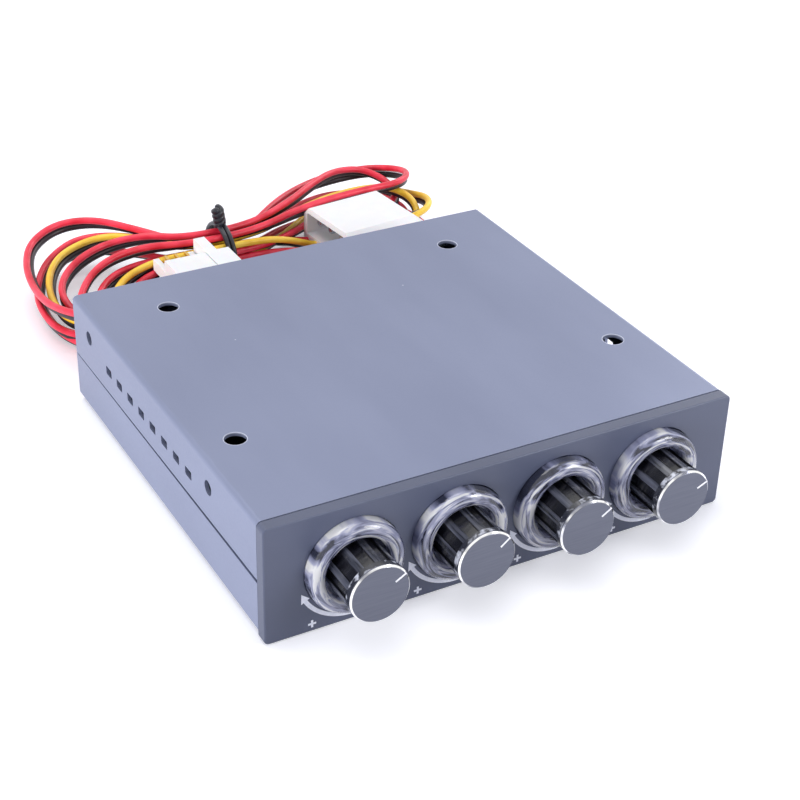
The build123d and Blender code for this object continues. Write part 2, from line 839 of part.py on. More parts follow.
# Leads: level out of the strip and through the grommet, then down and to the right into the hank
lead_names = ("fan_lead_1", "fan_lead_2", "power_lead", "fan_lead_3", "fan_lead_4")
lead_slack = (0.2, 0.3, 0.15, 0.25, 0.35)
for name, place, slack in zip(lead_names, range(-2, 3), lead_slack):
    x = exit_x + place * lead_pitch
    points = (
        Vector(x, front + strip_back, exit_height),
        Vector(x, front + strip_back + lead_first, exit_height),
        Vector(x, front + case_back + lead_past, exit_height + slack),
        Vector(x + lead_drift, front + left_front - lead_last, exit_height - lead_drop),
        Vector(x + lead_drift, front + left_front, exit_height - lead_drop),
    )
    radii = []
    for before, corner, after in zip(points, points[1:], points[2:]):
        turn = (corner - before).get_angle(after - corner)
        run = min((corner - before).length, (after - corner).length)
        radii.append(0.45 * run / tan(radians(turn / 2)))
    print(name, "bend radii", [round(r, 1) for r in radii])
    with BuildPart() as lead:
        with BuildLine() as route:
            FilletPolyline(*points, radius=radii)
        with BuildSketch(Plane(origin=points[0], z_dir=points[1] - points[0])):
            Circle(lead_width / 2)
        sweep()
    length = sum(edge.length for edge in route.edges())
    section = 3.14159 * (lead_width / 2) ** 2
    print(name, "length", round(length, 1), "volume ratio", round(lead.part.volume / section / length, 4))
    save(lead.part, name)

# Hank: outer shape of the folded leads, two loose loops either side of a tied waist
with BuildPart() as lead_hank:
    for (x, width, depth, height), near, (hole_x, hole_width, hole_depth) in (
        (left_lobe, left_front, left_window),
        (right_lobe, right_front, right_window),
    ):
        with BuildSketch(Plane.XY):
            with Locations((x, front + near + depth / 2)):
                RectangleRounded(width, depth, lobe_corner)
            with Locations((hole_x, front + near + depth / 2)):
                RectangleRounded(hole_width, hole_depth, hole_depth / 3, mode=Mode.SUBTRACT)
        lobe = extrude(amount=height)
        fillet(lobe.faces().sort_by(Axis.Z)[-1].edges(), radius=lobe_edge)
    with BuildSketch(Plane.YZ.offset(-waist_half)):
        with Locations((front + case_back + waist_place, waist_z)):
            Circle(waist_radius)
    extrude(amount=2 * waist_half)
save(lead_hank.part, "lead_hank")

# Tie: plastic-coated wire round the waist with its ends twisted up
with BuildPart() as bundle_tie:
    with BuildSketch(Plane.YZ.offset(-tie_width / 2)):
        with Locations((front + case_back + waist_place, waist_z)):
            Circle(waist_radius + tie_thickness)
            Circle(waist_radius, mode=Mode.SUBTRACT)
    extrude(amount=tie_width)
    with BuildSketch(Plane.XY.offset(waist_z + waist_radius + tie_thickness / 2)):
        with Locations((0, front + case_back + waist_place)):
            Circle(tie_head_radius)
    extrude(amount=tie_head_height, taper=4)
save(bundle_tie.part, "bundle_tie")

# Fan plugs: nylon housing with a tall wall over three bare pins, two of them lying on the hank,
# one upside down and one on its side, and two on the floor in front of it
plug_places = (
    ((plug_x, left_front + plug_place, plug_base + plug_height), 1, (0, 0, -1)),
    ((lobe_right + plug_side_gap + plug_height, left_front + plug_place, plug_stand + plug_width / 2), 1, (-1, 0, 0)),
    ((floor_plug_x[0], right_front, 0), -1, (0, 0, 1)),
    ((floor_plug_x[1], right_front, 0), -1, (0, 0, 1)),
)
plug_bases = [
    Plane(origin=(x, front + y, z), x_dir=(0, ahead, 0), z_dir=up) for (x, y, z), ahead, up in plug_places
]
for number, base in enumerate(plug_bases, start=1):
    tongue_base = base.offset(plug_height - plug_wall)
    with BuildPart() as fan_plug:
        with BuildSketch(base):
            with Locations((plug_length / 2, 0)):
                Rectangle(plug_length, plug_width)
        extrude(amount=plug_height)
        with BuildSketch(tongue_base):
            with Locations(((plug_length + plug_tongue) / 2, 0)):
                Rectangle(plug_length + plug_tongue, plug_width)
        extrude(amount=plug_wall)
        with BuildSketch(tongue_base.offset(-rail_height)):
            with Locations((plug_length + plug_tongue / 2, 0)):
                with GridLocations(0, plug_width - rail_width, 1, 2):
                    Rectangle(plug_tongue, rail_width)
        extrude(amount=rail_height)
    save(fan_plug.part, f"fan_plug_{number}")

with BuildPart() as plug_pins:
    for base in plug_bases:
        with BuildSketch(base.offset((plug_height - plug_wall - plug_pin) / 2)):
            with Locations((plug_length + plug_pin_length / 2, 0)):
                with GridLocations(0, plug_pin_pitch, 1, 3):
                    Rectangle(plug_pin_length, plug_pin)
        extrude(amount=plug_pin)
save(plug_pins.part, "plug_pins")

# Power plug: four-way nylon shell over bare pins, with two bevelled corners and a lower rear end
power_left = Plane(
    origin=(power_plug_x, front + case_back + power_plug_place + power_plug_width / 2, right_lobe[3]),
    x_dir=(-sin(radians(power_plug_turn)), cos(radians(power_plug_turn)), 0),
    z_dir=(cos(radians(power_plug_turn)), sin(radians(power_plug_turn)), 0),
)
power_way = Axis(power_left.origin, power_left.z_dir)
with BuildPart() as power_plug:
    with BuildSketch(power_left):
        with Locations((0, power_plug_height / 2)):
            Rectangle(power_plug_width, power_plug_height)
    extrude(amount=power_plug_length)
    top_edges = power_plug.edges().filter_by(power_way).group_by(Axis.Z)[-1]
    chamfer(top_edges, length=power_plug_bevel)
    with BuildSketch(power_left.offset(power_plug_length)):
        with Locations((0, (power_plug_height - power_plug_lip_drop) / 2)):
            Rectangle(power_plug_width - power_plug_bevel, power_plug_height - power_plug_lip_drop)
    extrude(amount=power_plug_lip)
    with BuildSketch(power_left):
        with Locations((0, power_plug_height / 2)):
            Rectangle(power_plug_width - 2 * power_plug_wall, power_plug_height - 2 * power_plug_wall)
    extrude(amount=power_plug_mouth, mode=Mode.SUBTRACT)
save(power_plug.part, "power_plug")

with BuildPart() as power_pins:
    with BuildSketch(power_left.offset(power_plug_mouth)):
        with Locations((0, power_plug_height / 2)):
            with GridLocations(power_pin_pitch, 0, 4, 1):
                Circle(power_pin_radius)
    extrude(amount=-power_pin_length)
    fillet(power_pins.faces().group_by(power_way)[0].edges(), radius=power_pin_radius / 2)
save(power_pins.part, "power_pins")

print("overall", round(-cap_face + case_back + rear_reach, 2), "front of panel at y", round(front, 3))
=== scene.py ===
import bpy
import math
from mathutils import Matrix, Vector


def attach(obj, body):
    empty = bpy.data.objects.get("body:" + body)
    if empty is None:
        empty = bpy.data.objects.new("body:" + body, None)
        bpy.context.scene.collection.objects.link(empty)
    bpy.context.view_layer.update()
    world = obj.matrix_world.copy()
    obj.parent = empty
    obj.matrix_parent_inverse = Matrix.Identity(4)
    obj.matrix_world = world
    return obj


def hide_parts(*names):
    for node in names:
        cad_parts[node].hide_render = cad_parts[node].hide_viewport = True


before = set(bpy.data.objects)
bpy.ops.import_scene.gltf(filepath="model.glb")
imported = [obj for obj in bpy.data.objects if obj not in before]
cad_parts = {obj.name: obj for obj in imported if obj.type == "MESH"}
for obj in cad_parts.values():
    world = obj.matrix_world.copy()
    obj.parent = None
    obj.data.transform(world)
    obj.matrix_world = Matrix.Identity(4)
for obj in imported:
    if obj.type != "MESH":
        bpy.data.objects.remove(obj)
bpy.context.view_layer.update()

# The table it is photographed on: a pale sheet under a large soft lamp, with the camera low at the
# left of the front panel. The lamp hangs a little behind the hub, so its shadow falls forwards.
def colour(code):
    parts = [int(code[i:i + 2], 16) / 255 for i in (1, 3, 5)]
    linear = [c / 12.92 if c <= 0.04045 else ((c + 0.055) / 1.055) ** 2.4 for c in parts]
    return (*linear, 1.0)


def node(tree, kind, sockets, **settings):
    made = tree.nodes.new(kind)
    for name, value in settings.items():
        setattr(made, name, value)
    for name, value in sockets.items():
        if isinstance(value, bpy.types.NodeSocket):
            tree.links.new(value, made.inputs[name])
        else:
            made.inputs[name].default_value = value
    return made


def combine(tree, operation, first, second=0.0, **settings):
    return node(tree, "ShaderNodeMath", {0: first, 1: second}, operation=operation, **settings).outputs[0]


def spread(tree, value, low, high, start=0.0, end=1.0):
    return node(tree, "ShaderNodeMapRange", {
        "Value": value, "From Min": start, "From Max": end, "To Min": low, "To Max": high}).outputs["Result"]


def length(tree, vector):
    return node(tree, "ShaderNodeVectorMath", {0: vector}, operation="LENGTH").outputs["Value"]


def object_place(tree):
    return node(tree, "ShaderNodeTexCoord", {}).outputs["Object"]


def background_rays(tree):
    ray = node(tree, "ShaderNodeLightPath", {})
    direct = combine(tree, "ADD", ray.outputs["Is Camera Ray"], ray.outputs["Is Glossy Ray"])
    return combine(tree, "ADD", direct, ray.outputs["Is Transmission Ray"], use_clamp=True)


camera_data = bpy.data.cameras.new("front_left_camera")
camera_data.lens = 77.71
camera_data.sensor_width = 36.0
camera = bpy.data.objects.new("front_left_camera", camera_data)
bpy.context.collection.objects.link(camera)
turn, rise, roll = math.radians(-29.68), math.radians(31.24), math.radians(1.655)
right = Vector((math.cos(turn), math.sin(turn), 0))
back = Vector((math.sin(turn) * math.cos(rise), -math.cos(turn) * math.cos(rise), math.sin(rise)))
up = back.cross(right)
level_right = right * math.cos(roll) + up * math.sin(roll)
level_up = up * math.cos(roll) - right * math.sin(roll)
view_axes = Matrix((level_right, level_up, back)).transposed().to_4x4()
camera.matrix_world = Matrix.Translation((-0.15070, -0.26537, 0.19955)) @ view_axes
bpy.context.scene.camera = camera
bpy.context.scene.view_settings.view_transform = "Standard"

for lamp_name, place, size, power in (
        ("top_soft_lamp", (-0.10, 0.25, 0.85), 0.60, 3.0),
        ("left_soft_lamp", (-0.90, -0.16, 0.24), 0.30, 7.0),
        ("front_soft_lamp", (0.34, -0.42, 0.24), 0.22, 1.5),
        ("right_rim_lamp", (0.65, 0.35, 0.40), 0.35, 1.2)):
    lamp_data = bpy.data.lights.new(lamp_name, "AREA")
    lamp_data.size = size
    lamp_data.energy = power
    lamp = bpy.data.objects.new(lamp_name, lamp_data)
    lamp.location = place
    lamp.rotation_mode = "QUATERNION"
    lamp.rotation_quaternion = (-Vector(place)).to_track_quat("-Z", "Y")
    lamp.visible_glossy = lamp_name != "left_soft_lamp"
    bpy.context.collection.objects.link(lamp)

studio = bpy.data.worlds.new("white_studio")
studio.use_nodes = True
tree = studio.node_tree
tree.nodes.clear()
room_light = node(tree, "ShaderNodeBackground", {"Color": colour("#E9ECF8"), "Strength": 0.55})
white_room = node(tree, "ShaderNodeBackground", {"Color": colour("#FFFFFF"), "Strength": 1.0})
room = node(tree, "ShaderNodeMixShader", {
    0: background_rays(tree), 1: room_light.outputs[0], 2: white_room.outputs[0]})
node(tree, "ShaderNodeOutputWorld", {"Surface": room.outputs[0]})
bpy.context.scene.world = studio

# White card, matt. It glows a little to the eye, more from 0.25 m out to 0.9 m, so it fades into the room.
bpy.ops.object.select_all(action="DESELECT")
bpy.ops.mesh.primitive_plane_add(size=4.0, location=(0, 0, -0.0001))
floor = bpy.context.object
floor.name = "white_paper_floor"
paper = bpy.data.materials.new("white_card_paper")
paper.use_nodes = True
tree = paper.node_tree
tree.nodes.clear()
far_glow = spread(tree, length(tree, object_place(tree)), low=0.26, high=0.9, start=0.25, end=0.9)
glow_level = combine(tree, "MULTIPLY", background_rays(tree), far_glow)
matt = node(tree, "ShaderNodeBsdfDiffuse", {"Color": colour("#F4F4F8")})
glow = node(tree, "ShaderNodeEmission", {"Color": colour("#FFFFFF"), "Strength": glow_level})
both = node(tree, "ShaderNodeAddShader", {0: matt.outputs[0], 1: glow.outputs[0]})
node(tree, "ShaderNodeOutputMaterial", {"Surface": both.outputs[0]})
floor.data.materials.append(paper)


# The sheet case: a folded tray and a folded cover of thin galvanised steel with a satin coat.
# The tray's walls stand inside the cover's, with toothed seams and a row of vent slots at each side.
def surface(name, **sockets):
    made = bpy.data.materials.new(name)
    made.use_nodes = True
    shader = made.node_tree.nodes["Principled BSDF"]
    for socket, value in sockets.items():
        shader.inputs[socket.replace("_", " ")].default_value = value
    return made, made.node_tree, shader


def join_up(tree, shader, **sockets):
    for socket, value in sockets.items():
        tree.links.new(value, shader.inputs[socket.replace("_", " ")])


def dress(material, *names):
    for name in names:
        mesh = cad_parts[name].data
        mesh.materials.clear()
        mesh.materials.append(material)


def noise(tree, size, detail, vector=None):
    if vector is None:
        vector = object_place(tree)
    return node(tree, "ShaderNodeTexNoise", {
        "Vector": vector, "Scale": 1 / size, "Detail": detail}).outputs["Fac"]


def drawn_out(tree, *scale):
    return node(tree, "ShaderNodeMapping", {"Vector": object_place(tree), "Scale": scale}).outputs[0]


def ramp(tree, value, *stops, interpolation="LINEAR"):
    made = node(tree, "ShaderNodeValToRGB", {"Fac": value})
    made.color_ramp.interpolation = interpolation
    elements = made.color_ramp.elements
    for element, (position, code) in ((elements[0], stops[0]), (elements[1], stops[-1])):
        element.position = position
        element.color = colour(code)
    for position, code in stops[1:-1]:
        elements.new(position).color = colour(code)
    return made.outputs["Color"]


def blend(tree, factor, first, second):
    return node(tree, "ShaderNodeMix", {"Factor": factor, 6: first, 7: second}, data_type="RGBA").outputs[2]


def bump(tree, height, strength, distance=0.0001):
    return node(tree, "ShaderNodeBump", {
        "Height": height, "Strength": strength, "Distance": distance}).outputs["Normal"]


# Satin coated steel: rolled flat, so faint long clouds along the sheet and a fine even grain.
# The real grain is about 0.15 mm, drawn at 0.5 mm so that it shows. A few specks of pale dust lie on it.
coated_steel, tree, shader = surface("satin_coated_steel", Metallic=0.35)
clouds = noise(tree, 0.022, 3.0, drawn_out(tree, 1.0, 0.35, 1.0))
cloud_tone = ramp(tree, clouds, (0.3, "#7A819B"), (0.7, "#838AA4"))
grain = noise(tree, 0.0005, 2.0)
dust_cells = node(tree, "ShaderNodeTexVoronoi", {"Vector": object_place(tree), "Scale": 1 / 0.014})
dust_speck = spread(tree, dust_cells.outputs["Distance"], low=0.8, high=0.0, start=0.011, end=0.017)
dust_tone = blend(tree, dust_speck, cloud_tone, colour("#D9DBE6"))
# The coat is worn to bare bright metal at the punched edge of the four holes in the top.
FRONT_HOLES = (0.0428, -0.0144)
BACK_HOLES = (0.0342, 0.0393)
BETWEEN_ROWS = 0.0125
BARE_EDGE = (0.00226, 0.00238)
TOP_SKIN = 0.0252
axes = node(tree, "ShaderNodeSeparateXYZ", {"Vector": object_place(tree)}).outputs
back_row = combine(tree, "GREATER_THAN", axes["Y"], BETWEEN_ROWS)
row_x, row_y = (spread(tree, back_row, low=near, high=far) for near, far in zip(FRONT_HOLES, BACK_HOLES))
hole_place = node(tree, "ShaderNodeCombineXYZ", {
    "X": combine(tree, "SUBTRACT", combine(tree, "ABSOLUTE", axes["X"]), row_x),
    "Y": combine(tree, "SUBTRACT", axes["Y"], row_y)})
bare_edge = spread(tree, length(tree, hole_place.outputs[0]), 0.75, 0.0, *BARE_EDGE)
bare_mask = combine(tree, "MULTIPLY", bare_edge, combine(tree, "GREATER_THAN", axes["Z"], TOP_SKIN))
coat_tone = blend(tree, bare_mask, dust_tone, colour("#DDE2F2"))
join_up(tree, shader, Base_Color=coat_tone, Roughness=spread(tree, grain, 0.34, 0.46),
        Normal=bump(tree, grain, 0.08))
dress(coated_steel, "bottom_tray", "top_cover")


# The circuit board: green glass fibre laminate on four brass posts, screwed down from above.
# Copper tracks run under the lacquer, mostly along and across the board.
def two_tones(tree, value, dark, pale):
    return ramp(tree, value, (0.0, dark), (1.0, pale))


laminate, tree, shader = surface(
    "lacquered_glass_laminate", Roughness=0.35, Coat_Weight=0.4, Coat_Roughness=0.15)
tracks = node(tree, "ShaderNodeTexBrick", {
    "Vector": object_place(tree), "Scale": 1 / 0.012, "Mortar Size": 0.05,
    "Color1": colour("#1D5A3A"), "Color2": colour("#1A5236"), "Mortar": colour("#3B8A55")})
join_up(tree, shader, Base_Color=tracks.outputs["Color"])
dress(laminate, "circuit_board")

# Turned brass with a thin nickel wash, on the posts and the bushings.
# The tool leaves fine rings about 0.2 mm apart, drawn at 0.8 mm.
brass, tree, shader = surface("turned_nickel_brass", Metallic=1.0, Roughness=0.28)
join_up(tree, shader, Base_Color=two_tones(tree, noise(tree, 0.0008, 1.0), "#B5A06A", "#CDBB8A"))
dress(brass, "standoffs", "pot_bushing_1", "pot_bushing_2", "pot_bushing_3", "pot_bushing_4")

# Zinc plated steel: bright, slightly blue, with small cloudy stains from the bath.
zinc, tree, shader = surface("zinc_plated_steel", Metallic=1.0)
bath = noise(tree, 0.0015, 3.0)
join_up(tree, shader, Base_Color=two_tones(tree, bath, "#A9AEBB", "#D3D6DF"),
        Roughness=spread(tree, bath, 0.18, 0.36))
dress(zinc, "board_screws", "transistor_screws", "bezel_screws", "cover_screws", "pot_washers", "pot_nuts",
      "pot_case_1", "pot_case_2", "pot_case_3", "pot_case_4")


# The drive parts on the board: an extruded heat sink with four power transistors screwed to it,
# four filter capacitors in dark sleeves, the control chip and its small resistors.
anodised, tree, shader = surface("black_anodised_aluminium", Metallic=0.7, Roughness=0.45)
streaks = noise(tree, 0.0007, 2.0, drawn_out(tree, 0.05, 1.0, 1.0))
join_up(tree, shader, Base_Color=two_tones(tree, streaks, "#1E2024", "#34373E"))
dress(anodised, "heat_sink")

# Moulded epoxy: dull black with the fine spark texture of its mould, drawn at 0.4 mm.
epoxy, tree, shader = surface("moulded_black_epoxy", Roughness=0.55)
spark = noise(tree, 0.0004, 2.0)
join_up(tree, shader, Base_Color=two_tones(tree, spark, "#17181A", "#26272B"), Normal=bump(tree, spark, 0.2))
dress(epoxy, "transistors", "control_chip")

# A printed plastic sleeve shrunk on a can: dark blue below, bare pressed aluminium on top.
CAN_TOP = 0.0168
sleeve, tree, shader = surface("shrunk_sleeve_on_can", Roughness=0.3)
axes = node(tree, "ShaderNodeSeparateXYZ", {"Vector": object_place(tree)}).outputs
bare_top = combine(tree, "GREATER_THAN", axes["Z"], CAN_TOP)
join_up(tree, shader, Base_Color=blend(tree, bare_top, colour("#1C2748"), colour("#C9CBD2")),
        Metallic=bare_top)
dress(sleeve, "capacitors")

# Lacquered carbon film resistors: a buff body crossed by colour rings 0.8 mm wide.
lacquer, tree, shader = surface("buff_resistor_lacquer", Roughness=0.3, Coat_Weight=0.5)
rings = node(tree, "ShaderNodeTexWave", {
    "Vector": object_place(tree), "Scale": 1 / 0.0105}, wave_type="BANDS", bands_direction="Y")
ring_tone = ramp(tree, rings.outputs["Fac"], (0.0, "#C9B48A"), (0.85, "#7A3A22"), interpolation="CONSTANT")
join_up(tree, shader, Base_Color=ring_tone)
dress(lacquer, "resistors")


# The front panel: a moulding of dark slate plastic with a satin skin, held to the case by screws
# from behind, with a printed arrow and plus sign below each knob.
slate, tree, shader = surface("satin_slate_plastic", Specular_IOR_Level=0.55)
flow_tone = ramp(tree, noise(tree, 0.03, 2.0), (0.3, "#454B60"), (0.7, "#50566C"))
skin = noise(tree, 0.0004, 2.0)
join_up(tree, shader, Base_Color=flow_tone, Roughness=spread(tree, skin, 0.36, 0.48),
        Normal=bump(tree, skin, 0.1))
dress(slate, "front_bezel")

# White screen ink: matt, a little thinner in places where the mesh printed lightly.
ink, tree, shader = surface("white_screen_ink", Roughness=0.6)
join_up(tree, shader, Base_Color=two_tones(tree, noise(tree, 0.0006, 1.0), "#D3D6E4", "#F2F3FA"))
dress(ink, "panel_marks")


# Four light rings of clear moulded acrylic, pushed into the panel from behind, with two small
# lamps behind each. Their bright and dark streaks are painted reflections in the base colour.
CHANNEL_PITCH = 0.022
AXIS_HEIGHT = 0.0127


def from_shaft(tree):
    axes = node(tree, "ShaderNodeSeparateXYZ", {"Vector": object_place(tree)}).outputs
    from_pair = combine(tree, "SUBTRACT", combine(tree, "ABSOLUTE", axes["X"]), CHANNEL_PITCH)
    return node(tree, "ShaderNodeCombineXYZ", {
        "X": combine(tree, "SUBTRACT", combine(tree, "ABSOLUTE", from_pair), CHANNEL_PITCH / 2),
        "Z": combine(tree, "SUBTRACT", axes["Z"], AXIS_HEIGHT)}).outputs[0]


# Clear acrylic, polished. Painted reflections: the base colour is streaked dark to white round the bore, in
# streaks about 1 mm wide.
acrylic, tree, shader = surface(
    "clear_moulded_acrylic", Roughness=0.05, IOR=1.49, Transmission_Weight=0.45, Coat_Weight=0.6,
    Coat_Roughness=0.02)
ring_place = from_shaft(tree)
fine_radius = combine(tree, "MULTIPLY", length(tree, ring_place), 1 / 0.0010)
outward = node(tree, "ShaderNodeVectorMath", {0: ring_place}, operation="NORMALIZE")
outward_axes = node(tree, "ShaderNodeSeparateXYZ", {"Vector": outward.outputs[0]}).outputs
axes = node(tree, "ShaderNodeSeparateXYZ", {"Vector": object_place(tree)}).outputs
each_other = combine(tree, "MULTIPLY", axes["X"], 25.0)
reflection_streak_place = node(tree, "ShaderNodeCombineXYZ", {
    "X": combine(tree, "ADD", fine_radius, each_other), "Y": outward_axes["X"], "Z": outward_axes["Z"]})
reflection_streak_pattern = node(tree, "ShaderNodeTexNoise", {
    "Vector": reflection_streak_place.outputs[0], "Scale": 1.3, "Detail": 3.0, "Distortion": 0.9}).outputs["Fac"]
# Painted reflections: the base colour runs from dark to white in streaks round the bore.
painted_reflection_tone = ramp(tree, reflection_streak_pattern, (0.38, "#2E3144"), (0.46, "#868AA8"), (0.54, "#BDC0DC"), (0.61, "#FFFFFF"))
join_up(tree, shader, Base_Color=painted_reflection_tone, Normal=bump(tree, reflection_streak_pattern, 0.5, 0.0004))
dress(acrylic, "light_ring_1", "light_ring_2", "light_ring_3", "light_ring_4")

# Water clear lamp lenses with a faint milky core.
lens, tree, shader = surface(
    "milky_lamp_lens", Roughness=0.12, IOR=1.5, Transmission_Weight=0.6, Subsurface_Weight=0.2)
join_up(tree, shader, Base_Color=two_tones(tree, noise(tree, 0.002, 1.0), "#D8DCF4", "#F2F3FC"))
dress(lens, "leds")

# Shafts of milled aluminium, bare, with the marks of the cutter drawn at 0.6 mm.
milled, tree, shader = surface("milled_aluminium", Metallic=1.0, Roughness=0.3)
join_up(tree, shader, Base_Color=two_tones(tree, noise(tree, 0.0006, 1.0), "#B8BAC0", "#D2D4D9"))
dress(milled, "pot_shaft_1", "pot_shaft_2", "pot_shaft_3", "pot_shaft_4")


# The knobs: glossy black moulded skirts with shallow finger flutes, pushed on the shafts.
# The skirt's colour holds painted highlight streaks along its length, painted shade in the flutes and
# painted glints on the collar at its rim.
FLUTE_RADIUS = 0.00578
COLLAR_RADIUS = 0.00597
gloss, tree, shader = surface(
    "glossy_black_plastic", Specular_IOR_Level=0.6, Coat_Weight=0.3, Coat_Roughness=0.05)
skirt_radius = length(tree, from_shaft(tree))
streaks = noise(tree, 0.0009, 3.0, drawn_out(tree, 1.0, 0.06, 1.0))
# Painted highlight: axial grey streaks on the lands, standing in for the lamp's sheen on the skirt.
land_highlight_tone = ramp(tree, streaks, (0.35, "#16181F"), (0.72, "#585B69"))
in_flute = combine(tree, "LESS_THAN", skirt_radius, FLUTE_RADIUS)
# Painted shade: the flutes are near black.
skirt_highlight_and_shade_tone = blend(tree, in_flute, land_highlight_tone, colour("#0B0B10"))
on_collar = combine(tree, "GREATER_THAN", skirt_radius, COLLAR_RADIUS)
# Painted glints: patchy pale grey on the collar.
painted_glint_tone = ramp(tree, noise(tree, 0.0016, 2.0), (0.52, "#23252E"), (0.68, "#B9BCC8"))
join_up(tree, shader, Base_Color=blend(tree, on_collar, skirt_highlight_and_shade_tone, painted_glint_tone),
        Roughness=spread(tree, streaks, 0.12, 0.34))
dress(gloss, "knob_1", "knob_2", "knob_3", "knob_4")

# Each knob's cap is a turned aluminium disc, brushed grey on its face and cut bright at the rim, where
# patches of painted highlight run from grey to white.
RIM_INSIDE = (0.00570, 0.00576)
RIM_OUTSIDE = (0.00602, 0.00604)
brushed, tree, shader = surface("brushed_aluminium_disc", Metallic=1.0)
disc_radius = length(tree, from_shaft(tree))
rim = combine(tree, "MULTIPLY", spread(tree, disc_radius, 0.0, 1.0, *RIM_INSIDE),
              spread(tree, disc_radius, 1.0, 0.0, *RIM_OUTSIDE))
brush_tone = two_tones(tree, noise(tree, 0.0003, 2.0, drawn_out(tree, 0.04, 1.0, 1.0)), "#606370", "#6E717D")
# Painted highlight: the cut rim's colour runs in patches from grey to white.
rim_cut_and_highlight_tone = ramp(tree, noise(tree, 0.004, 1.0), (0.36, "#8B8D99"), (0.50, "#FFFFFF"))
join_up(tree, shader, Base_Color=blend(tree, rim, brush_tone, rim_cut_and_highlight_tone),
        Roughness=spread(tree, rim, 0.38, 0.12))
dress(brushed, "knob_cap_1", "knob_cap_2", "knob_cap_3", "knob_cap_4")


# Each cap's pointer is a groove milled from near the middle to the rim and filled with white paint.
# The paint stands level with the face, thins out at the groove's inner end and is open at the rim.
POINTER_TURNS = (31.0, 39.0, 33.0, 25.0)
POINTER_SIZE = (0.0025, 0.00018, 0.00049)
POINTER_PLACE = (0.0034 + 0.00127, 0.00012, 0)
FIRST_SHAFT = -0.033
CAP_FACE = -0.0541
paint, tree, shader = surface("white_filling_paint", Roughness=0.35)
join_up(tree, shader, Base_Color=two_tones(tree, noise(tree, 0.0008, 1.0), "#E3E3EA", "#FCFCFF"))

for number, pointer_turn in enumerate(POINTER_TURNS, 1):
    bpy.ops.object.select_all(action="DESELECT")
    bpy.ops.mesh.primitive_cube_add(size=1.0, location=(0, 0, 0))
    inlay = bpy.context.object
    inlay.name = f"pointer_paint_{number}"
    inlay.scale = POINTER_SIZE
    inlay.location = POINTER_PLACE
    bpy.ops.object.transform_apply(location=True, rotation=False, scale=True)
    bpy.ops.object.mode_set(mode="EDIT")
    bpy.ops.mesh.select_all(action="SELECT")
    bpy.ops.mesh.bevel(offset=0.00004, segments=2)
    bpy.ops.mesh.select_all(action="SELECT")
    bpy.ops.mesh.normals_make_consistent(inside=False)
    bpy.ops.object.mode_set(mode="OBJECT")
    inlay.rotation_euler = (0, -math.radians(pointer_turn), 0)
    inlay.location = (FIRST_SHAFT + CHANNEL_PITCH * (number - 1), CAP_FACE, AXIS_HEIGHT)
    bpy.ops.object.transform_apply(location=True, rotation=True, scale=True)
    inlay.data.materials.append(paint)
    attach(inlay, f"dial_{number}")


# The cable grommet in the back wall and the terminal strip inside, both moulded in dull black.
# The rubber holds fine dust, drawn at 0.9 mm.
rubber, tree, shader = surface("black_moulded_rubber", Roughness=0.6)
dust = noise(tree, 0.0009, 4.0)
join_up(tree, shader, Base_Color=two_tones(tree, dust, "#131316", "#26262B"), Normal=bump(tree, dust, 0.2))
dress(rubber, "cable_grommet", "terminal_strip")


